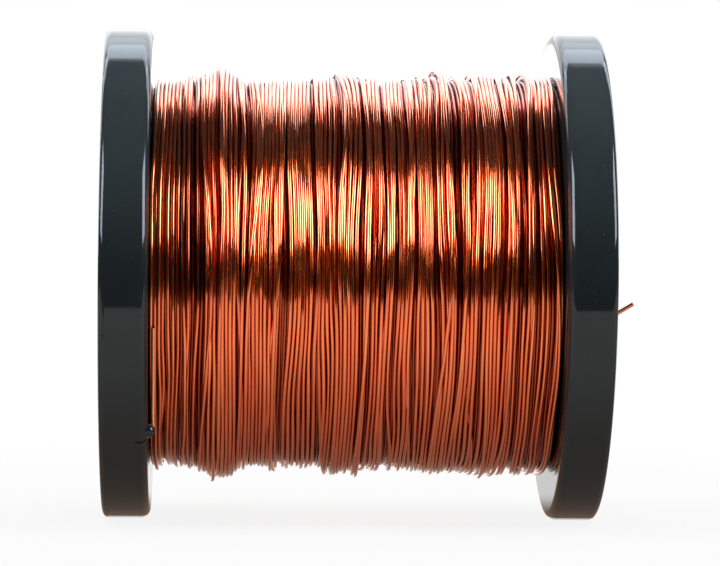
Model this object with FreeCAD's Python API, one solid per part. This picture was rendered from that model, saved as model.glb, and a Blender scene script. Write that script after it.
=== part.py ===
import FreeCAD, Part

import os
from itertools import product
from math import atan2, ceil, cos, degrees, exp, inf, pi, radians, sin, sqrt

# Wire spool: a moulded reel with two flanges, full of enamelled copper wire.
# The spool's axis is X and its origin is the middle of the arbor bore.
# The reel lies on its two rims, with +Z up. Angles turn about X, from +Y
# towards +Z, so 180 degrees is the front. Sizes are in millimetres and degrees.

Vector = FreeCAD.Vector

# Reel
flange_diameter = 125.0
overall_length = 125.5
rim_width = 12.0
rim_wall = 3.0
rim_outer_rounding = 1.6
rim_inner_rounding = 2.4
web_thickness = 3.0
recess_rounding = 1.0
barrel_diameter = 80.0
barrel_wall = 2.5
bore_diameter = 16.0
arbor_tube_wall = 2.5
hub_wall = 3.0
spigot_wall = 2.0
spigot_length = 6.0
spigot_rounding = 1.0

# Ribs in the open side of each flange
rib_count = 8
rib_thickness = 2.0
rib_height = 6.0

# Catch in the left rim for the end of the wire: a channel that is closed but for
# a narrow slit outwards, and a round lip beside it
slit_angle = 221.5
slit_width = 0.4
slit_length = 3.0
channel_width = 1.3
channel_depth = 5.0
channel_cover = 1.3
lip_width = 3.4
lip_rise = 1.8
lip_root = 4.0
lip_inset = 0.6
lip_rounding = 1.65

# Hole in the right web, where the start of the wire comes out
start_hole_diameter = 3.0
start_hole_angle = 197.9
start_hole_land = 0.9

# Wire, and how high it is wound on the barrel, rising a little to the right
wire_diameter = 0.95
winding_depth = 10.0
winding_taper = 0.015

# Bulges of the outer layer: place along the axis, height and half width
bulges = (
    (-34.0, 3.0, 4.2),
    (-2.5, 1.1, 3.0),
    (21.5, 0.9, 3.0),
    (33.0, 0.9, 3.0),
)

# Outer layer: each loop stands for the turns of wire that lie side by side in it
loop_turns = 23.6
loop_gap = 0.85
loop_bend = 3.6
loop_end_angle = 205.0
stations_per_turn = 4

# Start of the wire: straight out of the web, then bent aside
start_tail_stand = 1.7
start_tail_bend = 8.0
start_tail_slant = 32.5
start_tail_straight = 10.2

# End of the wire: off the winding beside the left web, behind the lip, then aside
# and outwards into the channel
finish_tail_lean = 26.0
finish_tail_inset = 1.2
catch_pass_drop = 4.9
catch_pass_lean = 0.1
catch_entry_inset = 0.2
catch_entry_drop = 2.5
catch_seat = 1.1
catch_seat_drop = 2.2

# Clearances
fit_gap = 0.2
end_gap = 0.3
wire_gap = 0.1

# How finely the outer layer is measured against itself
measure_spacing = 1.5

# Sizes that follow from the ones above
flange_radius = flange_diameter / 2
outer_face = overall_length / 2
inner_face = outer_face - rim_width
web_face = inner_face + web_thickness
barrel_radius = barrel_diameter / 2
barrel_bore = barrel_radius - barrel_wall
bore_radius = bore_diameter / 2
arbor_tube_radius = bore_radius + arbor_tube_wall
hub_bore = arbor_tube_radius + fit_gap
hub_radius = hub_bore + hub_wall
rim_bore = flange_radius - rim_wall
spigot_radius = barrel_bore - fit_gap
start_hole_radius = barrel_radius + start_hole_land + start_hole_diameter / 2
winding_half = inner_face - end_gap
winding_radius = barrel_radius + winding_depth
loop_diameter = (2 * winding_half - loop_turns * loop_gap) / (loop_turns + 1)
loop_pitch = loop_diameter + loop_gap
core_bore = barrel_radius + fit_gap
core_radius = winding_radius - winding_taper * winding_half - loop_diameter - wire_gap


def polar(x, radius, angle):
    """The point at a radius and an angle about the spool's axis."""
    return Vector(x, radius * cos(radians(angle)), radius * sin(radians(angle)))


def rounded_outline(corners):
    """A closed wire through corners (x, radius, rounding), each rounded by an arc."""
    ends = []
    for i, (x, radius, rounding) in enumerate(corners):
        corner = Vector(x, radius, 0)
        before = Vector(*corners[i - 1][:2], 0) - corner
        after = Vector(*corners[(i + 1) % len(corners)][:2], 0) - corner
        before.normalize()
        after.normalize()
        half = before.getAngle(after) / 2
        reach = rounding * cos(half) / sin(half)
        inwards = (before + after).normalize()
        middle = corner + inwards * (rounding / sin(half) - rounding)
        ends.append((corner + before * reach, middle, corner + after * reach, rounding))
    edges = []
    for i, (first, middle, last, rounding) in enumerate(ends):
        if rounding:
            edges.append(Part.Arc(first, middle, last).toShape())
        edges.append(Part.LineSegment(last, ends[(i + 1) % len(ends)][0]).toShape())
    return Part.Wire(edges)


def turned(corners):
    """A solid turned about the spool's axis from an outline."""
    return Part.Face(rounded_outline(corners)).revolve(Vector(), Vector(1, 0, 0), 360)


def ring(inner, outer, half_length):
    """A plain tube about the axis, centred on the origin."""
    return turned([
        (-half_length, inner, 0),
        (half_length, inner, 0),
        (half_length, outer, 0),
        (-half_length, outer, 0),
    ])


def block(angle, low, high):
    """A box between two corners (x, outwards, sideways), turned about the axis."""
    box = Part.makeBox(*(Vector(*high) - Vector(*low)), Vector(*low))
    return box.rotated(Vector(), Vector(1, 0, 0), angle)


def flange():
    """One flange moulding at the +X end: web, rim, hub, spigot and ribs."""
    body = turned([
        (inner_face, hub_bore, 0),
        (inner_face, spigot_radius - spigot_wall, 0),
        (inner_face - spigot_length, spigot_radius - spigot_wall, 0),
        (inner_face - spigot_length, spigot_radius, spigot_rounding),
        (inner_face, spigot_radius, 0),
        (inner_face, flange_radius, rim_inner_rounding),
        (outer_face, flange_radius, rim_outer_rounding),
        (outer_face, rim_bore, 0),
        (web_face, rim_bore, recess_rounding),
        (web_face, hub_radius, recess_rounding),
        (outer_face, hub_radius, 0),
        (outer_face, hub_bore, 0),
    ])
    low = (web_face - web_thickness / 2, hub_radius - hub_wall / 2, -rib_thickness / 2)
    high = (web_face + rib_height, rim_bore + rim_wall / 2, rib_thickness / 2)
    step = 360 / rib_count
    ribs = [block(step * (i + 0.5), low, high) for i in range(rib_count)]
    return body.fuse(ribs).removeSplitter()


def right_flange():
    """The flange that the start of the wire comes out through."""
    foot = polar(inner_face - end_gap, start_hole_radius, start_hole_angle)
    length = web_thickness + 2 * end_gap
    hole = Part.makeCylinder(start_hole_diameter / 2, length, foot, Vector(1, 0, 0))
    return flange().cut(hole)


def left_flange():
    """The flange with the lip, channel and slit that hold the end of the wire."""
    body = flange().rotated(Vector(), Vector(0, 0, 1), 180)
    lip = block(
        slit_angle,
        (-inner_face - lip_root, flange_radius - lip_inset - lip_width, -lip_width - slit_width / 2),
        (-inner_face + lip_rise, flange_radius - lip_inset, -slit_width / 2),
    )
    lip = lip.makeFillet(lip_rounding, lip.Edges)
    cuts = [
        block(
            slit_angle,
            (-inner_face - slit_length, flange_radius - channel_depth, -width / 2),
            (-inner_face + lip_rise, top, width / 2),
        )
        for width, top in ((slit_width, flange_radius + rim_wall), (channel_width, flange_radius - channel_cover))
    ]
    return body.fuse(lip).cut(cuts)


def barrel():
    """The barrel tube between the two webs, seated on their spigots."""
    return ring(barrel_bore, barrel_radius, inner_face)


def arbor_tube():
    """The tube through both hubs, whose bore takes the arbor."""
    return ring(bore_radius, arbor_tube_radius, outer_face)


def bend(start, corner, end):
    """The three points of the arc that is tangent to both legs of a corner."""
    middle = (start + end) / 2
    share = start.distanceToPoint(middle) / start.distanceToPoint(corner)
    return start, middle + (corner - middle) * (share / (1 + share)), end


def biarc(start, start_way, end, end_way):
    """Two arcs that join two points and keep to the given direction at each."""
    chord = end - start
    along = chord.dot(start_way + end_way)
    spread = 2 * (1 - start_way.dot(end_way))
    reach = (sqrt(along ** 2 + spread * chord.dot(chord)) - along) / spread
    first = start + start_way * reach
    last = end - end_way * reach
    joint = (first + last) / 2
    return [bend(start, first, joint), bend(joint, last, end)]


def path(stations):
    """A wire through stations, each a point and a direction, of straight runs and biarcs."""
    edges = []
    for (start, start_way), (end, end_way) in zip(stations, stations[1:]):
        if start_way == end_way:
            edges.append(Part.LineSegment(start, end).toShape())
        else:
            edges += [Part.Arc(*points).toShape() for points in biarc(start, start_way, end, end_way)]
    return Part.Wire(edges)


def tube(stations, diameter):
    """A round tube along the path through the stations."""
    section = Part.Wire(Part.makeCircle(diameter / 2, *stations[0]))
    return path(stations).makePipeShell([section], True, False)


def height_at(x):
    """The outer radius of the winding, and how it slopes, at a place along the axis."""
    radius = winding_radius + winding_taper * x
    slope = winding_taper
    for place, rise, width in bulges:
        swell = rise * exp(-((x - place) / width) ** 2)
        radius += swell
        slope -= 2 * (x - place) / width ** 2 * swell
    return radius, slope


def loop_place(turns):
    """The middle of the outer layer's tube after so many turns: x, radius, angle."""
    x = winding_half - loop_diameter / 2 - loop_pitch * turns
    angle = loop_end_angle + 360 * (turns - loop_turns)
    return x, height_at(x)[0] - loop_diameter / 2, angle


def loop_station(turns):
    """A point of the outer layer and its direction, after so many turns."""
    x, radius, angle = loop_place(turns)
    advance = -loop_pitch / (2 * pi)
    climb = height_at(x)[1] * advance
    way = Vector(advance, 0, 0) + polar(0, climb, angle) + polar(0, radius, angle + 90)
    return polar(x, radius, angle), way.normalize()


def loop_end(turns, side):
    """Where an end of the outer layer goes down into the winding: x, foot and angle."""
    x, radius, angle = loop_place(turns)
    return x, radius - loop_bend - loop_diameter, angle + side * degrees(atan2(loop_bend, radius))


def loop_stations():
    """All stations of the outer layer, from foot to foot."""
    x, foot, angle = loop_end(0, -1)
    up = polar(0, 1, angle)
    stations = [(polar(x, foot, angle), up), (polar(x, foot + loop_diameter, angle), up)]
    count = ceil(loop_turns * stations_per_turn)
    stations += [loop_station(loop_turns * i / count) for i in range(count + 1)]
    x, foot, angle = loop_end(loop_turns, 1)
    down = polar(0, -1, angle)
    stations += [(polar(x, foot + loop_diameter, angle), down), (polar(x, foot, angle), down)]
    return stations


def outer_turns():
    """The outer layer of the winding, one unbroken tube."""
    return tube(loop_stations(), loop_diameter)


def winding_core():
    """The inner layers, plain, with a pocket where each end of the outer layer goes down."""
    body = ring(core_bore, core_radius, winding_half)
    half = loop_diameter / 2 + wire_gap
    for turns, side in ((0, -1), (loop_turns, 1)):
        x, foot, angle = loop_end(turns, side)
        sideways = sorted((side * half, -side * loop_bend))
        low = (x - half, foot - wire_gap, sideways[0])
        high = (x + half, winding_radius, sideways[1])
        body = body.cut(block(angle, low, high))
    return body


def start_tail():
    """The start of the wire, from the winding's end out through the right web."""
    foot = polar(winding_half + wire_gap, start_hole_radius, start_hole_angle)
    ahead = Vector(1, 0, 0)
    aside = polar(0, -1, start_hole_angle + 90)
    slant = radians(start_tail_slant)
    out = ahead * cos(slant) + aside * sin(slant)
    straight = Vector(web_face + start_tail_stand, foot.y, foot.z)
    swing = ahead * sin(slant) + aside * (1 - cos(slant))
    bent = straight + swing * start_tail_bend
    stations = [(foot, ahead), (straight, ahead), (bent, out), (bent + out * start_tail_straight, out)]
    return tube(stations, wire_diameter)


def finish_tail():
    """The end of the wire, off the winding's outer layer and into the left rim's channel."""
    x = -inner_face + finish_tail_inset
    leave_angle = slit_angle - finish_tail_lean
    leave = polar(x, height_at(x)[0] + wire_gap + wire_diameter / 2, leave_angle)
    hidden = polar(x, flange_radius - catch_pass_drop, slit_angle - catch_pass_lean)
    entry = polar(-inner_face + catch_entry_inset, flange_radius - catch_entry_drop, slit_angle)
    seat_radius = flange_radius - catch_seat_drop
    seat = polar(-inner_face - catch_seat, seat_radius, slit_angle)
    floor = polar(-inner_face - slit_length + wire_gap, seat_radius, slit_angle)
    inwards = Vector(-1, 0, 0)
    stations = [
        (leave, polar(0, 1, leave_angle + 90)),
        (hidden, (hidden - leave).normalize()),
        (entry, (inwards + polar(0, 1, slit_angle)).normalize()),
        (seat, inwards),
        (floor, inwards),
    ]
    return tube(stations, wire_diameter)


def least_gap(stations, diameter):
    """The least gap between stretches of a tube over three diameters apart along it."""
    points = path(stations).discretize(Distance=measure_spacing)
    cell_size = 3 * diameter
    skip = ceil(3 * diameter / measure_spacing)
    cells = {}
    least = inf
    for i, point in enumerate(points):
        cell = tuple(round(place / cell_size) for place in point)
        for near in product(*(range(place - 1, place + 2) for place in cell)):
            for j in cells.get(near, ()):
                if i - j > skip:
                    least = min(least, point.distanceToPoint(points[j]))
        cells.setdefault(cell, []).append(i)
    return least - diameter


def print_winding(shape):
    """Prints what the outer layer measures: its gap to itself, tightest arc and volume."""
    stations = loop_stations()
    line = path(stations)
    tightest = min(edge.Curve.Radius for edge in line.Edges if isinstance(edge.Curve, Part.Circle))
    section = pi * loop_diameter ** 2 / 4
    print(f"outer_turns: tube {loop_diameter:.2f} mm, length {line.Length / 1000:.2f} m")
    print(f"outer_turns: least gap to itself {least_gap(stations, loop_diameter):.2f} mm")
    print(f"outer_turns: tightest arc {tightest:.2f} mm")
    print(f"outer_turns: volume over section times length {shape.Volume / section / line.Length:.4f}")


def main():
    """Writes one STEP file for each piece."""
    os.makedirs("parts", exist_ok=True)
    pieces = (
        left_flange,
        right_flange,
        barrel,
        arbor_tube,
        winding_core,
        outer_turns,
        start_tail,
        finish_tail,
    )
    for piece in pieces:
        shape = piece()
        shape.exportStep(f"parts/{piece.__name__}.step")
        if piece is outer_turns:
            print_winding(shape)


main()
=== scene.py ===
"""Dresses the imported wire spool: a black moulded reel, full of enamelled copper wire."""

import logging
import math
from dataclasses import dataclass
from enum import Enum

import bmesh
import bpy
import numpy as np
from mathutils import Matrix, Vector


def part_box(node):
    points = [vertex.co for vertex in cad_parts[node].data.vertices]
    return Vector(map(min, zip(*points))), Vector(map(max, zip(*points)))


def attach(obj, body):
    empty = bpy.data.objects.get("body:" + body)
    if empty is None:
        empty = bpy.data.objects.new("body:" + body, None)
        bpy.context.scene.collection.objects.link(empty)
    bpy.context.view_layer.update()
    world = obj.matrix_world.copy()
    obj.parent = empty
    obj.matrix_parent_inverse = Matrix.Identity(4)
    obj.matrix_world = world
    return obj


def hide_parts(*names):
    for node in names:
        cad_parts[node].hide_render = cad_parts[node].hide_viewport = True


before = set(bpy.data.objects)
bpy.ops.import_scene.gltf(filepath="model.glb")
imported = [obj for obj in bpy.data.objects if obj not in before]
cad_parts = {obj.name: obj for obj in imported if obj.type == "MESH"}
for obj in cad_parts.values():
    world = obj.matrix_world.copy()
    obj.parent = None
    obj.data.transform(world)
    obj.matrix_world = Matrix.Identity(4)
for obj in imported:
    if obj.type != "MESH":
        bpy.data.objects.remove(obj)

LOG = logging.getLogger("wire_spool")
MM = 0.001
BODY = "root"
TURN = 2 * math.pi
WHITE = (1.0, 1.0, 1.0)

# Points that lie this close together are one point
SAME_PLACE = 0.001 * MM

# Inputs of a Mix node's share and two colours, and its output for a colour
MIX_SHARE, MIX_FIRST, MIX_SECOND, MIXED = 0, 6, 7, 2

# Smoothing along a wire: how many widths the weights reach, how many stations ahead
# of another turn a climb over it starts, and how softly it rises, in stations
WEIGHTS_REACH = 2.3
CLIMB_AHEAD = 2
CLIMB_SOFTNESS = 2.6


class Slot(Enum):
    """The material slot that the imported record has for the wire."""

    COPPER = "enamelled_copper"


class Serves(Enum):
    """What a lamp is there for."""

    GLOSS = "the reflections on glossy surfaces"
    MATT = "the light on matt surfaces"


# Shader nodes as Python expressions


class Signal:
    """A node's output, which can be used in Python expressions on values."""

    def __init__(self, tree: bpy.types.NodeTree, socket: bpy.types.NodeSocket) -> None:
        """Keeps the tree and the output.

        Args:
            tree: The node tree that the output is in.
            socket: The output itself.
        """
        self.tree = tree
        self.socket = socket

    def combine(self, operation: str, first: object, second: object) -> "Signal":
        """Adds a Math node.

        Args:
            operation: The Math node's operation.
            first: A signal or a number.
            second: A signal or a number.

        Returns:
            The node's output.
        """
        node = self.tree.nodes.new("ShaderNodeMath")
        node.operation = operation
        for socket, value in zip(node.inputs, (first, second)):
            feed(self.tree, socket, value)
        return Signal(self.tree, node.outputs[0])

    def __add__(self, other: object) -> "Signal":
        """This plus another value."""
        return self.combine("ADD", self, other)

    def __radd__(self, other: object) -> "Signal":
        """Another value plus this."""
        return self.combine("ADD", other, self)

    def __sub__(self, other: object) -> "Signal":
        """This less another value."""
        return self.combine("SUBTRACT", self, other)

    def __rsub__(self, other: object) -> "Signal":
        """Another value less this."""
        return self.combine("SUBTRACT", other, self)

    def __mul__(self, other: object) -> "Signal":
        """This times another value."""
        return self.combine("MULTIPLY", self, other)

    def __rmul__(self, other: object) -> "Signal":
        """Another value times this."""
        return self.combine("MULTIPLY", other, self)

    def or_more(self, other: object) -> "Signal":
        """This or another value, whichever is more."""
        return self.combine("MAXIMUM", self, other)


def feed(tree: bpy.types.NodeTree, socket: bpy.types.NodeSocket, value: object) -> None:
    """Links a signal to an input, or sets the input's value.

    Args:
        tree: The node tree.
        socket: The input.
        value: A signal, a number or a tuple of numbers.
    """
    if isinstance(value, Signal):
        tree.links.new(value.socket, socket)
    else:
        socket.default_value = value


def opaque(colour: object) -> object:
    """Gives a colour its full alpha.

    Args:
        colour: Red, green and blue, or a signal.

    Returns:
        The colour with its alpha, or the signal as it is.
    """
    return colour if isinstance(colour, Signal) else (*colour, 1.0)


class Shading:
    """The node tree of a material or of the world."""

    def __init__(self, tree: bpy.types.NodeTree) -> None:
        """Empties the tree.

        Args:
            tree: The node tree to fill.
        """
        self.tree = tree
        tree.nodes.clear()

    def add(self, kind: str, settings: dict, inputs: dict, output: object = 0) -> Signal:
        """Adds a node.

        Args:
            kind: The node's type.
            settings: The node's own settings.
            inputs: A value or signal for each input, by its name or its number.
            output: The name or number of the output that is returned.

        Returns:
            The node's output.
        """
        node = self.tree.nodes.new(kind)
        for name, value in settings.items():
            setattr(node, name, value)
        for name, value in inputs.items():
            feed(self.tree, node.inputs[name], value)
        return Signal(self.tree, node.outputs[output])

    def show(self, kind: str, surface: Signal) -> None:
        """Adds the tree's output node.

        Args:
            kind: The node's type.
            surface: The shader that it shows.
        """
        node = self.tree.nodes.new(kind)
        feed(self.tree, node.inputs["Surface"], surface)

    def place(self) -> Signal:
        """Adds the object's own coordinates."""
        return self.add("ShaderNodeTexCoord", {}, {}, "Object")

    def blend(self, share: object, first: object, second: object) -> Signal:
        """Mixes two colours.

        Args:
            share: How much of the second colour, from 0 to 1.
            first: A colour or a signal.
            second: A colour or a signal.

        Returns:
            The mixed colour.
        """
        return self.add(
            "ShaderNodeMix",
            {"data_type": "RGBA"},
            {MIX_SHARE: share, MIX_FIRST: opaque(first), MIX_SECOND: opaque(second)},
            MIXED,
        )

    def noise(
        self, place: Signal, scale: float, detail: float = 2.0, roughness: float = 0.5
    ) -> Signal:
        """Adds noise from 0 to 1.

        Args:
            place: The coordinates.
            scale: How fine the noise is, in waves to a unit.
            detail: How many finer waves are added.
            roughness: How strong the finer waves are.

        Returns:
            The noise value.
        """
        return self.add(
            "ShaderNodeTexNoise",
            {},
            {"Vector": place, "Scale": scale, "Detail": detail, "Roughness": roughness},
        )

    def spread(
        self,
        value: Signal,
        low: float,
        high: float,
        to_low: float = 0.0,
        to_high: float = 1.0,
    ) -> Signal:
        """Maps a value's range to another one, and holds it there.

        Args:
            value: The value.
            low: Where the range starts.
            high: Where it ends.
            to_low: What the start becomes.
            to_high: What the end becomes.

        Returns:
            The mapped value.
        """
        ends = {"From Min": low, "From Max": high, "To Min": to_low, "To Max": to_high}
        return self.add(
            "ShaderNodeMapRange", {"interpolation_type": "SMOOTHSTEP"}, {"Value": value, **ends}
        )

    def stretched(self, place: Signal, scale: tuple) -> Signal:
        """Stretches coordinates.

        Args:
            place: The coordinates.
            scale: The factor along each axis.

        Returns:
            The stretched coordinates.
        """
        return self.add("ShaderNodeVectorMath", {"operation": "MULTIPLY"}, {0: place, 1: scale})

    def length(self, place: Signal) -> Signal:
        """Measures how far coordinates are from their origin.

        Args:
            place: The coordinates.

        Returns:
            The distance.
        """
        return self.add("ShaderNodeVectorMath", {"operation": "LENGTH"}, {0: place}, "Value")

    def bump(self, height: float, pattern: Signal, under: Signal | None = None) -> Signal:
        """Adds a relief.

        Args:
            height: How high it is where the pattern is 1.
            pattern: The relief's pattern, from 0 to 1.
            under: The relief that it lies on.

        Returns:
            The bent normal.
        """
        inputs = {"Strength": 1.0, "Distance": height, "Height": pattern}
        if under is not None:
            inputs["Normal"] = under
        return self.add("ShaderNodeBump", {}, inputs)

    def glow(self, colour: object) -> Signal:
        """Adds a shader that shows a colour as it is.

        Args:
            colour: A colour or a signal.

        Returns:
            The shader.
        """
        return self.add("ShaderNodeEmission", {}, {"Color": opaque(colour), "Strength": 1.0})

    def seen_rays(self) -> Signal:
        """Tells the rays apart that show a surface as it is.

        Returns:
            1 for rays from the camera, from a mirror or through glass, and 0 for others.
        """
        camera, glossy, through = (
            self.add("ShaderNodeLightPath", {}, {}, name)
            for name in ("Is Camera Ray", "Is Glossy Ray", "Is Transmission Ray")
        )
        return camera.or_more(glossy).or_more(through)


def new_material(name: str) -> tuple[bpy.types.Material, Shading]:
    """Makes a material with nothing in it.

    Args:
        name: The material's name.

    Returns:
        The material and its node tree.
    """
    made = bpy.data.materials.new(name)
    made.use_nodes = True
    return made, Shading(made.node_tree)


# Finishes


@dataclass(frozen=True)
class EnamelledCopper:
    """Copper wire under clear amber enamel.

    The waves of its patterns are per turn of the winding, so that neighbours differ,
    and per metre of the wire. A range is the levels of noise between which a pattern
    fades in.
    """

    name: str = "enamelled_copper_wire"
    colour: tuple = (0.9, 0.19, 0.034)
    deep_colour: tuple = (0.78, 0.12, 0.017)
    roughness: float = 0.15
    rougher: float = 0.22
    enamel_roughness: float = 0.03
    enamel_ior: float = 1.62
    kink_height: float = 0.05 * MM
    bead_height: float = 0.05 * MM
    along_wire: bool = True
    tone_waves: tuple = (3.7, 14.0, 0.0)
    tone_range: tuple = (0.35, 0.7)
    dull_waves: tuple = (2.3, 160.0, 0.0)
    dull_range: tuple = (0.3, 0.7)
    kink_waves: tuple = (5.1, 110.0, 0.0)
    kink_detail: float = 3.0
    kink_roughness: float = 0.45
    bead_waves: tuple = (5.1, 430.0, 0.0)
    bead_detail: float = 0.0
    beaded_waves: tuple = (9.3, 8.0, 0.0)
    beaded_range: tuple = (0.55, 0.68)

    def material(self) -> bpy.types.Material:
        """Builds the material.

        Returns:
            The material, whose pattern follows the wire's own attribute, or object
            coordinates where the piece has none.
        """
        made, shading = new_material(self.name)
        if self.along_wire:
            lay = shading.add("ShaderNodeAttribute", {"attribute_name": "lay"}, {}, "Vector")
        else:
            lay = shading.place()
        tone = shading.noise(shading.stretched(lay, self.tone_waves), 1.0)
        dull = shading.noise(shading.stretched(lay, self.dull_waves), 1.0)
        kinks = shading.noise(
            shading.stretched(lay, self.kink_waves), 1.0, self.kink_detail, self.kink_roughness
        )
        beads = shading.noise(shading.stretched(lay, self.bead_waves), 1.0, self.bead_detail)
        beaded = shading.noise(shading.stretched(lay, self.beaded_waves), 1.0)
        beads = beads * shading.spread(beaded, *self.beaded_range)
        deep = shading.spread(tone, *self.tone_range)
        surface = shading.add(
            "ShaderNodeBsdfPrincipled",
            {},
            {
                "Base Color": shading.blend(deep, self.colour, self.deep_colour),
                "Metallic": 1.0,
                "Roughness": shading.spread(
                    dull, *self.dull_range, self.roughness, self.rougher
                ),
                "Coat Weight": 1.0,
                "Coat Roughness": self.enamel_roughness,
                "Coat IOR": self.enamel_ior,
                "Normal": shading.bump(
                    self.bead_height, beads, shading.bump(self.kink_height, kinks)
                ),
            },
        )
        shading.show("ShaderNodeOutputMaterial", surface)
        return made


@dataclass(frozen=True)
class BlackPlastic:
    """Black moulded plastic with a fine gloss, a little dust and fine scratches.

    The waves of its patterns are per metre. A range is the levels of noise between
    which a pattern fades in.
    """

    name: str = "black_moulded_plastic"
    colour: tuple = (0.048, 0.064, 0.07)
    worn_colour: tuple = (0.056, 0.072, 0.078)
    roughness: float = 0.06
    rougher: float = 0.09
    ior: float = 1.4
    worn_waves: float = 60.0
    worn_detail: float = 3.0
    worn_range: tuple = (0.3, 0.7)
    ripple_waves: float = 260.0
    ripple_height: float = 0.005 * MM
    dust_colour: tuple = (0.3, 0.29, 0.27)
    dust_share: float = 0.6
    dust_waves: float = 1500.0
    dust_detail: float = 1.0
    dust_range: tuple = (0.77, 0.8)
    scratch_turns: tuple = ((0.5, 0.25, -1.1), (-0.4, 0.6, 0.8))
    scratch_scales: tuple = (0.375, 1.0)
    scratch_waves: tuple = (2200.0, 2200.0, 60.0)
    scratch_range: tuple = (0.73, 0.78)
    scratch_height: float = 0.001 * MM
    scratch_roughness: float = 0.05
    seam_angle: float = 69.9
    seam_half_width: float = 0.16 * MM
    seam_height: float = 0.06 * MM
    seam_radii: tuple = (61.6 * MM, 62.2 * MM)

    def material(self) -> bpy.types.Material:
        """Builds the material.

        Returns:
            The material, on object coordinates.
        """
        made, shading = new_material(self.name)
        place = shading.place()
        worn = shading.noise(place, self.worn_waves, self.worn_detail)
        ripple = shading.noise(place, self.ripple_waves)
        scratches = self.scratches(shading, place)
        relief = shading.bump(self.ripple_height, ripple)
        relief = shading.bump(self.scratch_height, scratches, relief)
        relief = shading.bump(self.seam_height, self.seam(shading, place), relief)
        dust = shading.noise(place, self.dust_waves, self.dust_detail)
        specks = shading.spread(dust, *self.dust_range, 0.0, self.dust_share)
        faded = shading.spread(worn, *self.worn_range)
        base = shading.blend(faded, self.colour, self.worn_colour)
        dull = shading.spread(worn, *self.worn_range, self.roughness, self.rougher)
        surface = shading.add(
            "ShaderNodeBsdfPrincipled",
            {},
            {
                "Base Color": shading.blend(specks, base, self.dust_colour),
                "Roughness": dull + scratches * self.scratch_roughness,
                "IOR": self.ior,
                "Normal": relief,
            },
        )
        shading.show("ShaderNodeOutputMaterial", surface)
        return made

    def seam(self, shading: Shading, place: Signal) -> Signal:
        """The line that the mould's parting leaves across the rims.

        Args:
            shading: The material's node tree.
            place: The coordinates.

        Returns:
            1 on the line and 0 beside it.
        """
        turn = math.radians(self.seam_angle)
        square_to_line = (0.0, math.sin(turn), math.cos(turn))
        across = shading.add(
            "ShaderNodeVectorMath",
            {"operation": "DOT_PRODUCT"},
            {0: place, 1: square_to_line},
            "Value",
        )
        radius = shading.length(shading.stretched(place, (0.0, 1.0, 1.0)))
        rim = shading.spread(radius, *self.seam_radii)
        return rim * shading.spread(across * across, 0.0, self.seam_half_width ** 2, 1.0, 0.0)

    def scratches(self, shading: Shading, place: Signal) -> Signal:
        """Fine handling scratches, in two directions across each other.

        Args:
            shading: The material's node tree.
            place: The coordinates.

        Returns:
            1 in a scratch and 0 beside it.
        """
        sets = []
        for turn, scale in zip(self.scratch_turns, self.scratch_scales):
            turned = shading.add("ShaderNodeMapping", {}, {"Vector": place, "Rotation": turn})
            thin = shading.noise(shading.stretched(turned, self.scratch_waves), scale, 0.0)
            sets.append(shading.spread(thin, *self.scratch_range))
        return sets[0].or_more(sets[1])


@dataclass(frozen=True)
class StudioPaper:
    """White paper of the floor and backdrop, which keeps the object's shadow."""

    name: str = "white_studio_paper"
    colour: tuple = (0.92, 0.92, 0.92)
    unseen_colour: tuple = (0.07, 0.07, 0.07)
    white_share_near: float = 0.88
    white_share_far: float = 1.0
    near: float = 0.1
    far: float = 0.5

    def material(self) -> bpy.types.Material:
        """Builds the material.

        Returns:
            The material.
        """
        made, shading = new_material(self.name)
        share = shading.spread(
            shading.length(shading.place()),
            self.near,
            self.far,
            self.white_share_near,
            self.white_share_far,
        )
        seen = shading.seen_rays()
        tint = shading.blend(seen, self.unseen_colour, self.colour)
        paper = shading.add("ShaderNodeBsdfDiffuse", {}, {"Color": tint})
        surface = shading.add(
            "ShaderNodeMixShader", {}, {0: share * seen, 1: paper, 2: shading.glow(WHITE)}
        )
        shading.show("ShaderNodeOutputMaterial", surface)
        return made


@dataclass(frozen=True)
class TableCard:
    """Glowing pale table top that only reflections see: a painted reflection, with a painted
    shadow under the object that is darker and warmer.
    """

    name: str = "pale_table_card"
    painted_shadow_colour: tuple = (0.27, 0.18, 0.13)
    open_colour: tuple = (1.0, 1.0, 0.98)
    near: float = 0.0
    far: float = 0.105

    def material(self) -> bpy.types.Material:
        """Builds the material.

        Returns:
            The material, whose painted shadow lightens to the front and to the back.
        """
        made, shading = new_material(self.name)
        reach = shading.length(shading.stretched(shading.place(), (0.0, 1.0, 0.0)))
        share = shading.spread(reach, self.near, self.far)
        # Painted shadow and painted warm bounce light near the object, along the depth only.
        colour = shading.blend(share, self.painted_shadow_colour, self.open_colour)
        shading.show("ShaderNodeOutputMaterial", shading.glow(colour))
        return made


@dataclass(frozen=True)
class DarkCard:
    """Dark glowing card that only reflections see: a painted reflection of a dark room, a
    little lighter overhead with painted light.
    """

    name: str = "black_studio_card"
    colour: tuple = (0.014, 0.022, 0.03)
    painted_overhead_light_colour: tuple = (0.045, 0.075, 0.1)
    overhead: float = 0.8

    def material(self) -> bpy.types.Material:
        """Builds the material.

        Returns:
            The material.
        """
        made, shading = new_material(self.name)
        level = shading.add("ShaderNodeSeparateXYZ", {}, {"Vector": shading.place()}, "Z")
        share = shading.spread(level, 0.0, self.overhead)
        # Painted reflection: the glow lightens upwards, standing in for dim light overhead.
        colour = shading.blend(share, self.colour, self.painted_overhead_light_colour)
        shading.show("ShaderNodeOutputMaterial", shading.glow(colour))
        return made


# Pieces


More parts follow.
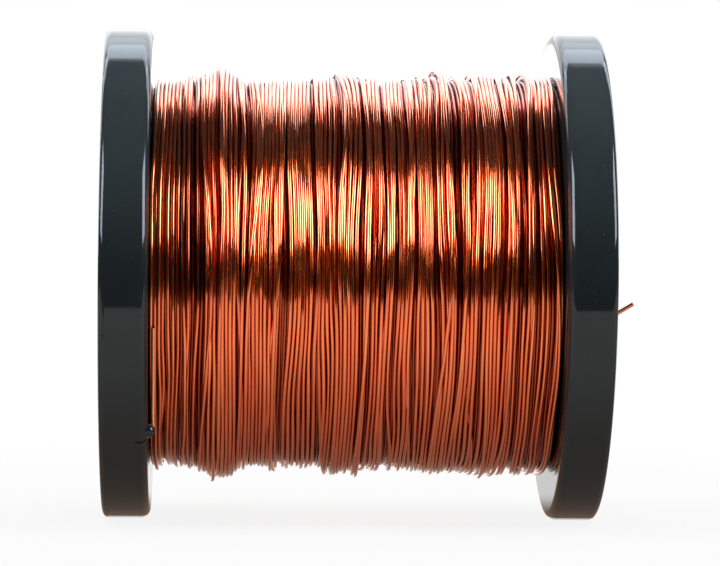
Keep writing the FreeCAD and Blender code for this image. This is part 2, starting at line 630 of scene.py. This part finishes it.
def piece_from(
    mesh: bmesh.types.BMesh, name: str, material: bpy.types.Material
) -> bpy.types.Object:
    """Makes an object of a finished bmesh.

    Args:
        mesh: The bmesh, which is freed.
        name: The object's name.
        material: Its material.

    Returns:
        The object, at the origin.
    """
    bmesh.ops.recalc_face_normals(mesh, faces=mesh.faces)
    for face in mesh.faces:
        face.smooth = True
    data = bpy.data.meshes.new(name)
    mesh.to_mesh(data)
    mesh.free()
    made = bpy.data.objects.new(name, data)
    made.data.materials.append(material)
    bpy.context.scene.collection.objects.link(made)
    LOG.info("%s has %d faces and %s", name, len(data.polygons), material.name)
    return made


def dress(name: str, material: bpy.types.Material) -> None:
    """Gives a CAD node its finish.

    Args:
        name: The node's name.
        material: The finish.
    """
    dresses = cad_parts[name].data.materials
    dresses.clear()
    dresses.append(material)
    LOG.info("%s has %s", name, material.name)


@dataclass
class Reel:
    """The black reel: two flanges, the barrel and the arbor tube, as the CAD has them."""

    finish: BlackPlastic = BlackPlastic()
    nodes: tuple = ("left_flange", "right_flange", "barrel", "arbor_tube")

    def build(self) -> None:
        """Dresses the reel's nodes."""
        material = self.finish.material()
        for name in self.nodes:
            dress(name, material)


@dataclass
class Layer:
    """One layer of wire.

    Attributes:
        name: The piece's name.
        turns: How many turns it has.
        start: Where it starts along the axis.
        advance: How far a turn moves along the axis.
        seed: The seed of its random draws.
        own_stray: How far a turn strays by itself.
        shared_stray: How far neighbours stray together.
        crossings: How many times the wire jumps over its neighbours.
        looseness: How far loose turns stand off.
    """

    name: str
    turns: int
    start: float
    advance: float
    seed: int
    own_stray: float
    shared_stray: float
    crossings: int = 0
    looseness: float = 0.0


@dataclass
class Winding:
    """The wire on the barrel: two layers of turns, modelled one by one, over a plain body.

    A bulge has its place along the axis, its height and its half width. Each seed but
    the shared one is added to the layer's own.
    """

    finish: EnamelledCopper = EnamelledCopper()
    # Painted shade: a darker copy of the wire's finish, for the second layer and the body under
    # it, whose colour stands in for the shade deep in the winding.
    painted_shade_finish: EnamelledCopper = EnamelledCopper(
        "copper_wire_painted_shade",
        colour=(0.42, 0.06, 0.012),
        deep_colour=(0.3, 0.032, 0.006),
        enamel_ior=1.3,
        bead_height=0.16 * MM,
    )
    tail_finish: EnamelledCopper = EnamelledCopper(
        "copper_wire_ends",
        colour=(0.95, 0.36, 0.14),
        deep_colour=(0.9, 0.28, 0.1),
        roughness=0.42,
        rougher=0.5,
        enamel_roughness=0.3,
        enamel_ior=1.4,
        along_wire=False,
    )
    tails: tuple = ("start_tail", "finish_tail")
    turns: int = 97
    diameter: float = 0.95 * MM
    half_width: float = 50.65 * MM
    radius: float = 50.4 * MM
    lift: float = 0.4 * MM
    taper: float = 0.015
    bulges: tuple = (
        (-34.0 * MM, 3.1 * MM, 4.4 * MM),
        (-2.5 * MM, 1.4 * MM, 3.2 * MM),
        (21.5 * MM, 0.9 * MM, 3.0 * MM),
        (33.0 * MM, 0.9 * MM, 3.0 * MM),
    )
    stations: int = 112
    sides: int = 8
    layer_drop: float = 0.82 * MM
    least_spacing: float = 0.96 * MM
    most_spacing: float = 1.25 * MM
    touching: float = 0.93
    pushes: int = 90
    push_softness: float = 1.5
    web_reach: float = 2.5 * MM
    sag: float = 1.0
    sway: float = 1.3
    own_waves: tuple = (
        (0.61, 0.8),
        (1.37, 0.8),
        (2.23, 0.55),
        (3.41, 0.4),
        (5.3, 0.3),
        (7.9, 0.2),
    )
    shared_seed: int = 5
    shared_waves: tuple = (1, 2, 3, 4, 5)
    shared_lengths: tuple = (12.0, 34.0)
    shared_sizes: tuple = (1.1, 0.9)
    crossing_seed: int = 1
    crossing_margin: float = 2.0
    crossing_reach: tuple = (0.06, 0.17)
    crossing_shift: tuple = (1.2, 3.2)
    slack_seed: int = 2
    slack_floor: float = -0.3
    ripple_seed: int = 7
    ripple_height: float = 0.22 * MM
    ripple_reach: float = 2.5
    body_spans: int = 160
    body_steps: int = 96

    @property
    def edge(self) -> float:
        """How far from the middle the axis of the last turn can lie."""
        return self.half_width - self.diameter / 2

    def layers(self) -> tuple[Layer, Layer]:
        """Sets out the two layers that are modelled.

        Returns:
            The second layer, wound to the right, and the outer one, wound to the left.
        """
        edge, turns = self.edge, self.turns
        second = Layer(
            "second_layer",
            turns,
            start=-edge,
            advance=2 * edge / turns,
            seed=3,
            own_stray=0.3 * MM,
            shared_stray=0.5 * MM,
        )
        outer = Layer(
            "outer_layer",
            turns,
            start=edge,
            advance=-2 * edge / turns,
            seed=11,
            own_stray=0.55 * MM,
            shared_stray=0.9 * MM,
            crossings=54,
            looseness=0.13 * MM,
        )
        return second, outer

    def along(self, layer: Layer) -> np.ndarray:
        """Where a layer's stations lie along its wire, in turns.

        Args:
            layer: The layer.

        Returns:
            The place of each station.
        """
        return np.arange(layer.turns * self.stations) / self.stations

    def height(self, x: np.ndarray) -> np.ndarray:
        """The radius that the outer turns reach.

        Args:
            x: Places along the axis.

        Returns:
            The radius at each place.
        """
        radius = self.radius + self.taper * x
        for place, rise, width in self.bulges:
            radius = radius + rise * np.exp(-(((x - place) / width) ** 2))
        return radius

    def own_wander(self, turns: np.ndarray, seed: int) -> np.ndarray:
        """How far a wire strays on its own, smoothly along its length.

        Args:
            turns: Places along the wire, in turns.
            seed: The seed of the draws.

        Returns:
            A value around 0, with a spread of about 1.
        """
        random = np.random.default_rng(seed)
        total = np.zeros_like(turns)
        for waves, size in self.own_waves:
            total += size * np.sin(TURN * (waves * turns + random.random()))
        return total

    def shared_wander(self, x: np.ndarray, angle: np.ndarray) -> np.ndarray:
        """How far neighbouring wires stray together.

        Args:
            x: Places along the axis.
            angle: Angles about it.

        Returns:
            A value around 0, with a spread of about 1.
        """
        random = np.random.default_rng(self.shared_seed)
        total = np.zeros_like(x)
        for waves in self.shared_waves:
            for way, size in zip((1, -1), self.shared_sizes):
                length = random.uniform(*self.shared_lengths) * MM
                phase = TURN * random.random()
                wave = np.sin(TURN * x / length + way * waves * angle + phase)
                total += size / math.sqrt(waves) * wave
        return total / 2

    def lanes(self, layer: Layer) -> np.ndarray:
        """Where a layer's wire runs along the axis at each of its stations.

        Args:
            layer: The layer.

        Returns:
            The places, one row to a turn.
        """
        turns = self.along(layer)
        x = layer.start + layer.advance * turns
        edge = self.edge
        free = np.clip((edge - np.abs(x)) / self.web_reach, 0.0, 1.0)
        sway = 1.0 + self.sway * hanging(turns)
        stray = layer.own_stray * sway * self.own_wander(turns, layer.seed)
        stray += layer.shared_stray * self.shared_wander(x, TURN * turns)
        x = self.part(np.clip(x + free * stray, -edge, edge), layer)
        random = np.random.default_rng(layer.seed + self.crossing_seed)
        for _ in range(layer.crossings):
            place = random.uniform(self.crossing_margin, layer.turns - self.crossing_margin)
            reach = random.uniform(*self.crossing_reach)
            way = random.choice((-1.0, 1.0))
            shift = way * random.uniform(*self.crossing_shift) * self.diameter
            x = x + shift * np.exp(-(((turns - place) / reach) ** 2))
        return np.clip(x, -edge, edge).reshape(layer.turns, self.stations)

    def part(self, x: np.ndarray, layer: Layer) -> np.ndarray:
        """Moves neighbouring turns until they lie side by side, with no wide gap.

        Args:
            x: Where the wire runs at each of its stations.
            layer: The layer.

        Returns:
            The places after the moves.
        """
        way = math.copysign(1.0, layer.advance)
        for _ in range(self.pushes):
            rows = x.reshape(layer.turns, self.stations)
            apart = way * np.diff(rows, axis=0)
            short = np.maximum(self.least_spacing - apart, 0.0)
            short -= np.maximum(apart - self.most_spacing, 0.0) / 2
            push = np.zeros_like(rows)
            push[1:] += short * way / 2
            push[:-1] -= short * way / 2
            moved = x + smoothed(push.ravel(), self.push_softness)
            x = np.clip(moved, -self.edge, self.edge)
        return smoothed(x, self.push_softness)

    def settle(
        self,
        lanes: np.ndarray,
        floor: np.ndarray,
        placed: list[tuple[np.ndarray, np.ndarray]],
    ) -> np.ndarray:
        """Lays the turns of a layer one after the other on what is there already.

        Args:
            lanes: The layer's places along the axis, one row to a turn.
            floor: The least radius at each station.
            placed: Places and radii of turns that are there already, which grows.

        Returns:
            The radius at each station.
        """
        radii = []
        for x, least in zip(lanes, floor):
            radius = least.copy()
            for other, height in placed:
                near = (self.touching * self.diameter) ** 2 - (x - other) ** 2
                above = height + np.sqrt(np.maximum(near, 0))
                radius = np.where(near > 0, np.maximum(radius, above), radius)
            radius = soften(radius)
            placed.append((x, radius))
            radii.append(radius)
        return np.array(radii)

    def slack(self, layer: Layer) -> np.ndarray:
        """How far loose turns stand off, most where they hang under the barrel.

        Args:
            layer: The layer.

        Returns:
            The extra radius at each station, one row to a turn.
        """
        turns = self.along(layer)
        wave = self.own_wander(turns, layer.seed + self.slack_seed)
        sag = 1.0 + self.sag * hanging(turns)
        stand = layer.looseness * np.maximum(wave, self.slack_floor) * sag
        return stand.reshape(layer.turns, self.stations)

    def ripple(self, layer: Layer) -> np.ndarray:
        """How far short bends lift and lower a layer's wire.

        Args:
            layer: The layer.

        Returns:
            The extra radius at each station.
        """
        random = np.random.default_rng(layer.seed + self.ripple_seed)
        rough = smoothed(random.standard_normal(layer.turns * self.stations), self.ripple_reach)
        return self.ripple_height * rough / np.std(rough)

    def lifted(self, layer: Layer) -> np.ndarray:
        """How far a layer's turns stand out over the barrel and lie close under it.

        Args:
            layer: The layer.

        Returns:
            The extra radius at each station.
        """
        return self.lift * np.sin(TURN * self.along(layer))

    def coil(
        self,
        layer: Layer,
        lanes: np.ndarray,
        radii: np.ndarray,
        material: bpy.types.Material,
    ) -> bpy.types.Object:
        """Builds a layer's wire as one tube.

        Args:
            layer: The layer.
            lanes: The place of each station along the axis.
            radii: The radius of each station.
            material: The wire's material.

        Returns:
            The piece.
        """
        mesh = bmesh.new()
        ring = bmesh.ops.create_circle(
            mesh,
            segments=self.sides,
            radius=self.diameter / 2,
            matrix=Matrix.Translation((layer.start, self.radius, 0.0)),
        )
        bmesh.ops.spin(
            mesh,
            geom=ring["verts"] + mesh.edges[:],
            cent=(0.0, 0.0, 0.0),
            axis=(1.0, 0.0, 0.0),
            dvec=(layer.advance / self.stations, 0.0, 0.0),
            angle=TURN,
            steps=self.stations,
        )
        bmesh.ops.spin(
            mesh,
            geom=mesh.verts[:] + mesh.edges[:] + mesh.faces[:],
            cent=(0.0, 0.0, 0.0),
            axis=(1.0, 0.0, 0.0),
            dvec=(layer.advance, 0.0, 0.0),
            angle=TURN * (layer.turns - 1),
            steps=layer.turns - 1,
            use_duplicate=True,
        )
        bmesh.ops.remove_doubles(mesh, verts=mesh.verts, dist=SAME_PLACE)
        open_ends = [e for e in mesh.edges if e.is_boundary]
        bmesh.ops.holes_fill(mesh, edges=open_ends, sides=self.sides)
        made = piece_from(mesh, layer.name, material)
        self.displace(made, layer, lanes, radii)
        return made

    def displace(
        self, made: bpy.types.Object, layer: Layer, lanes: np.ndarray, radii: np.ndarray
    ) -> None:
        """Moves an even coil's stations to where the wire lies, and notes its lay.

        Args:
            made: The coil.
            layer: The layer.
            lanes: The place of each station along the axis.
            radii: The radius of each station.
        """
        count = len(made.data.vertices)
        places = np.empty(count * 3)
        made.data.vertices.foreach_get("co", places)
        places = places.reshape(count, 3)
        angle = np.arctan2(places[:, 2], places[:, 1])
        share = np.mod(angle / TURN, 1.0)
        share = np.where(share > 1 - 0.5 / self.stations, share - 1, share)
        turn = np.round((places[:, 0] - layer.start) / layer.advance - share)
        station = np.round((turn + share) * self.stations).astype(int)
        along = station / self.stations
        lanes, radii = np.append(lanes, lanes[-1]), np.append(radii, radii[-1])
        reach = np.hypot(places[:, 1], places[:, 2]) + radii[station] - self.radius
        places[:, 0] += lanes[station] - layer.start - layer.advance * along
        places[:, 1] = reach * np.cos(angle)
        places[:, 2] = reach * np.sin(angle)
        made.data.vertices.foreach_set("co", places.ravel())
        lay = made.data.attributes.new("lay", "FLOAT_VECTOR", "POINT")
        metres = np.stack([np.floor(along), along * TURN * self.radius, along * 0], 1)
        lay.data.foreach_set("vector", metres.ravel())
        made.data.update()

    def build_body(self, material: bpy.types.Material, excess: float) -> None:
        """Builds the layers under the two modelled ones as one plain body.

        Args:
            material: The wire's darker material, with painted shade.
            excess: How far the layers were let down.
        """
        mesh = bmesh.new()
        bmesh.ops.create_grid(mesh, x_segments=self.body_spans, y_segments=1, size=1.0)
        bmesh.ops.delete(mesh, geom=mesh.faces[:], context="FACES_ONLY")
        bmesh.ops.delete(mesh, geom=[v for v in mesh.verts if v.co.y > 0], context="VERTS")
        drop = self.diameter + self.layer_drop + excess
        for vertex in mesh.verts:
            vertex.co.x *= self.half_width
            vertex.co.y = float(self.height(vertex.co.x)) - drop
        ends = sorted(mesh.verts, key=lambda v: v.co.x)
        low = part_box("barrel")[1].z
        for vertex in (ends[0], ends[-1]):
            foot = mesh.verts.new((vertex.co.x, low, 0.0))
            mesh.edges.new((vertex, foot))
        bmesh.ops.spin(
            mesh,
            geom=mesh.verts[:] + mesh.edges[:],
            cent=(0.0, 0.0, 0.0),
            axis=(1.0, 0.0, 0.0),
            dvec=(0.0, 0.0, 0.0),
            angle=TURN,
            steps=self.body_steps,
            use_merge=True,
        )
        bmesh.ops.remove_doubles(mesh, verts=mesh.verts, dist=SAME_PLACE)
        piece = piece_from(mesh, "inner_layers", material)
        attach(piece, BODY)
        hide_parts("winding_core")

    def build(self) -> None:
        """Builds both layers and the plain body under them, and dresses the wire's ends."""
        material = self.finish.material()
        # The darker copy is painted shade for the wire seen between the outer turns and below
        # them.
        shaded = self.painted_shade_finish.material()
        second, outer = self.layers()
        placed: list[tuple[np.ndarray, np.ndarray]] = []
        below = self.lanes(second)
        floor = self.height(below) - self.diameter / 2 - self.layer_drop
        below_radii = self.settle(below, floor, placed)
        above = self.lanes(outer)
        floor = self.height(above) - self.diameter / 2 - self.layer_drop / 2
        above_radii = self.settle(above, floor, placed) + self.slack(outer)
        excess = np.mean(above_radii - self.height(above) + self.diameter / 2)
        LOG.info("both layers are let down by %.2f mm", excess / MM)
        for layer, lanes, radii, dressing in (
            (second, below, below_radii, shaded),
            (outer, above, above_radii, material),
        ):
            smooth = soften(radii.ravel() - excess) + self.ripple(layer) + self.lifted(layer)
            piece = self.coil(layer, lanes.ravel(), smooth, dressing)
            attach(piece, BODY)
            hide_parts("outer_turns" if layer is outer else "winding_core")
        self.build_body(shaded, excess)
        bare = self.tail_finish.material()
        for name in self.tails:
            dress(name, bare)


def hanging(turns: np.ndarray) -> np.ndarray:
    """How near places along a wire are to the barrel's underside: 0 on top, 1 below."""
    return 0.5 - 0.5 * np.sin(TURN * turns)


def smoothed(values: np.ndarray, width: float) -> np.ndarray:
    """Smooths values along a wire.

    Args:
        values: The value at each station.
        width: How far the smoothing reaches, in stations.

    Returns:
        The smoothed values.
    """
    reach = math.ceil(WEIGHTS_REACH * width)
    weights = np.exp(-((np.arange(-reach, reach + 1) / width) ** 2))
    padded = np.pad(values, reach, mode="edge")
    return np.convolve(padded, weights / weights.sum(), mode="valid")


def soften(radii: np.ndarray) -> np.ndarray:
    """Smooths heights along a wire without letting it sink into what is under it.

    Args:
        radii: The height at each station.

    Returns:
        The smoothed heights.
    """
    padded = np.pad(radii, CLIMB_AHEAD, mode="edge")
    shifted = [padded[i : i + len(radii)] for i in range(2 * CLIMB_AHEAD + 1)]
    return smoothed(np.max(shifted, axis=0), CLIMB_SOFTNESS)


# Studio


@dataclass
class Lamp:
    """A soft box: where it stands, its size, how bright its face is and what it is for."""

    name: str
    azimuth: float
    elevation: float
    distance: float
    width: float
    height: float
    radiance: float
    colour: tuple = WHITE
    serves: Serves = Serves.GLOSS

    def build(self) -> None:
        """Adds the lamp, facing the object."""
        data = bpy.data.lights.new(self.name, "AREA")
        data.shape = "RECTANGLE"
        data.size = self.width
        data.size_y = self.height
        data.energy = self.radiance * math.pi * self.width * self.height
        data.color = self.colour
        made = bpy.data.objects.new(self.name, data)
        a, e = math.radians(self.azimuth), math.radians(self.elevation)
        way = Vector((math.sin(a) * math.cos(e), -math.cos(a) * math.cos(e), math.sin(e)))
        made.location = way * self.distance
        made.rotation_euler = way.to_track_quat("Z", "Y").to_euler()
        made.visible_camera = False
        made.visible_glossy = self.serves is Serves.GLOSS
        made.visible_diffuse = self.serves is Serves.MATT
        bpy.context.scene.collection.objects.link(made)


@dataclass
class Studio:
    """The floor, backdrop, cards, lamps and world."""

    floor_level: float = -62.5 * MM
    half_width: float = 5.0
    front: float = -5.0
    wall: float = 3.6
    wall_top: float = 4.0
    cove: float = 0.8
    cove_segments: int = 12
    ambient: float = 0.1
    room_radius: float = 1.1
    room_segments: tuple = (72, 36)
    window_half_width: float = 30.0
    window_top: float = 64.0
    table_radius: float = 0.7
    table_segments: int = 64
    table_front: float = -0.25
    table_edge_half_width: float = 2.0
    table_edge_height: float = 0.1026
    lamps: tuple = (
        Lamp("left_soft_box", -64.0, 26.8, 0.9, 0.5, 0.495, 12.9, (0.8, 0.84, 1.0)),
        Lamp("right_soft_box", 64.0, 26.8, 0.9, 0.5, 0.495, 12.9, (0.8, 0.84, 1.0)),
        Lamp("left_fill", -75.0, 42.0, 0.9, 0.7, 1.0, 1.0, serves=Serves.MATT),
        Lamp("right_fill", 75.0, 42.0, 0.9, 0.7, 1.0, 1.0, serves=Serves.MATT),
        Lamp("overhead_fill", 0.0, 82.0, 1.0, 1.0, 1.0, 1.7, serves=Serves.MATT),
        Lamp("back_fill", 180.0, 45.0, 1.0, 1.0, 1.0, 0.8, serves=Serves.MATT),
        Lamp("back_light", 180.0, 51.5, 0.8, 0.86, 0.355, 1.85, (0.8, 0.89, 1.0)),
        Lamp("back_low_light", 180.0, 27.0, 0.8, 0.86, 0.34, 0.92, (0.8, 0.89, 1.0)),
        Lamp("horizon_light", 180.0, 3.0, 0.8, 0.4, 0.14, 0.8),
        Lamp("left_back_strip", -133.0, 27.0, 0.9, 0.22, 0.85, 3.4, (0.8, 0.9, 1.0)),
        Lamp("right_back_strip", 133.0, 27.0, 0.9, 0.22, 0.85, 3.4, (0.8, 0.9, 1.0)),
        Lamp("back_top_light", 180.0, 56.5, 0.8, 0.86, 0.21, 1.9, (0.62, 0.8, 1.0)),
    )

    def build_paper(self) -> None:
        """Builds the floor and the backdrop as one curved sheet."""
        mesh = bmesh.new()
        foot = (self.wall, self.floor_level)
        corners = ((self.front, self.floor_level), foot, (self.wall, self.wall_top))
        chain = [mesh.verts.new((-self.half_width, y, z)) for y, z in corners]
        for first, second in zip(chain, chain[1:]):
            mesh.edges.new((first, second))
        swept = bmesh.ops.extrude_edge_only(mesh, edges=mesh.edges[:])
        moved = [v for v in swept["geom"] if isinstance(v, bmesh.types.BMVert)]
        bmesh.ops.translate(mesh, verts=moved, vec=(2 * self.half_width, 0.0, 0.0))
        bend = [
            edge
            for edge in mesh.edges
            if all(math.dist(v.co.yz, foot) < MM for v in edge.verts)
        ]
        bmesh.ops.bevel(
            mesh,
            geom=bend,
            offset=self.cove,
            segments=self.cove_segments,
            profile=0.5,
            affect="EDGES",
            material=-1,
        )
        paper = piece_from(mesh, "paper_floor", StudioPaper().material())

    def build_room(self, dark: bpy.types.Material) -> None:
        """Builds the dark room round the object, open below the floor and at its window.

        Args:
            dark: The dark card.
        """
        mesh = bmesh.new()
        across, upwards = self.room_segments
        bmesh.ops.create_uvsphere(
            mesh, u_segments=across, v_segments=upwards, radius=self.room_radius
        )
        bmesh.ops.bisect_plane(
            mesh,
            geom=mesh.verts[:] + mesh.edges[:] + mesh.faces[:],
            plane_co=(0.0, 0.0, self.floor_level - MM),
            plane_no=(0.0, 0.0, -1.0),
            clear_outer=True,
        )
        window = [f for f in mesh.faces if self.in_window(f.calc_center_median())]
        bmesh.ops.delete(mesh, geom=window, context="FACES")
        # The dark room is a painted reflection: a glowing card that only reflections see.
        self.hide(piece_from(mesh, "dark_room_card", dark))

    def build_table(self, dark: bpy.types.Material) -> None:
        """Builds the pale table top, and the dark card that stands at its front edge.

        Args:
            dark: The dark card.
        """
        mesh = bmesh.new()
        half_height = self.table_edge_height / 2
        place = Matrix.Translation((0.0, self.table_front, self.floor_level + half_height))
        size = Matrix.Diagonal((self.table_edge_half_width, 1.0, half_height, 1.0))
        turned = Matrix.Rotation(math.pi / 2, 4, "X")
        bmesh.ops.create_grid(
            mesh, x_segments=1, y_segments=1, size=1.0, matrix=place @ size @ turned
        )
        self.hide(piece_from(mesh, "table_edge_card", dark))
        mesh = bmesh.new()
        bmesh.ops.create_circle(
            mesh,
            cap_ends=True,
            segments=self.table_segments,
            radius=self.table_radius,
            matrix=Matrix.Translation((0.0, 0.0, self.floor_level + MM)),
        )
        # The table card is a painted reflection of a lit table, with a painted shadow under the
        # object.
        self.hide(piece_from(mesh, "table_card", TableCard().material()))

    def in_window(self, point: Vector) -> bool:
        """Whether a point of the dark room lies in its bright window behind the object.

        Args:
            point: The point.

        Returns:
            True in the window.
        """
        aside = math.degrees(math.atan2(abs(point.x), point.y))
        up = math.degrees(math.atan2(point.z, math.hypot(point.x, point.y)))
        return aside < self.window_half_width and up < self.window_top

    @staticmethod
    def hide(card: bpy.types.Object) -> None:
        """Leaves a card to reflections alone.

        Args:
            card: The card.
        """
        card.visible_camera = False
        card.visible_diffuse = False
        card.visible_shadow = False

    def build_world(self) -> None:
        """Makes the world white where it is seen, and plain grey light elsewhere."""
        world = bpy.data.worlds.new("studio_air")
        world.use_nodes = True
        bpy.context.scene.world = world
        shading = Shading(world.node_tree)
        seen = shading.seen_rays()
        strength = seen + (1 - seen) * self.ambient
        air = shading.add(
            "ShaderNodeBackground", {}, {"Color": opaque(WHITE), "Strength": strength}
        )
        shading.show("ShaderNodeOutputWorld", air)

    def build(self) -> None:
        """Builds the studio."""
        dark = DarkCard().material()
        self.build_paper()
        self.build_room(dark)
        self.build_table(dark)
        self.build_world()
        for lamp in self.lamps:
            lamp.build()
        bpy.context.scene.view_settings.view_transform = "Standard"


@dataclass(frozen=True)
class PortraitCamera:
    """The camera at the photograph's viewing angle."""

    place: tuple = (-0.033116, -0.94617, -0.00198)
    yaw: float = 0.0377
    roll: float = 0.0081
    lens: float = 184.1
    sensor_width: float = 36.0
    clip_start: float = 0.05

    def build(self) -> None:
        """Adds the camera and makes it the scene's own."""
        data = bpy.data.cameras.new("portrait_camera")
        data.lens = self.lens
        data.sensor_width = self.sensor_width
        data.sensor_fit = "HORIZONTAL"
        data.clip_start = self.clip_start
        made = bpy.data.objects.new("portrait_camera", data)
        across = Vector((math.cos(self.yaw), -math.sin(self.yaw), 0.0))
        ahead = Vector((math.sin(self.yaw), math.cos(self.yaw), 0.0))
        rise = Vector((0.0, 0.0, 1.0))
        right = across * math.cos(self.roll) + rise * math.sin(self.roll)
        up = rise * math.cos(self.roll) - across * math.sin(self.roll)
        turned = Matrix((right, up, -ahead)).transposed().to_4x4()
        made.matrix_world = Matrix.Translation(self.place) @ turned
        bpy.context.scene.collection.objects.link(made)
        bpy.context.scene.camera = made


def main() -> None:
    """Builds the dressed spool in order."""
    logging.basicConfig(level=logging.INFO, format="%(message)s")
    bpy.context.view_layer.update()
    PortraitCamera().build()
    Studio().build()
    Reel().build()
    Winding().build()


if __name__ == "__main__":
    main()
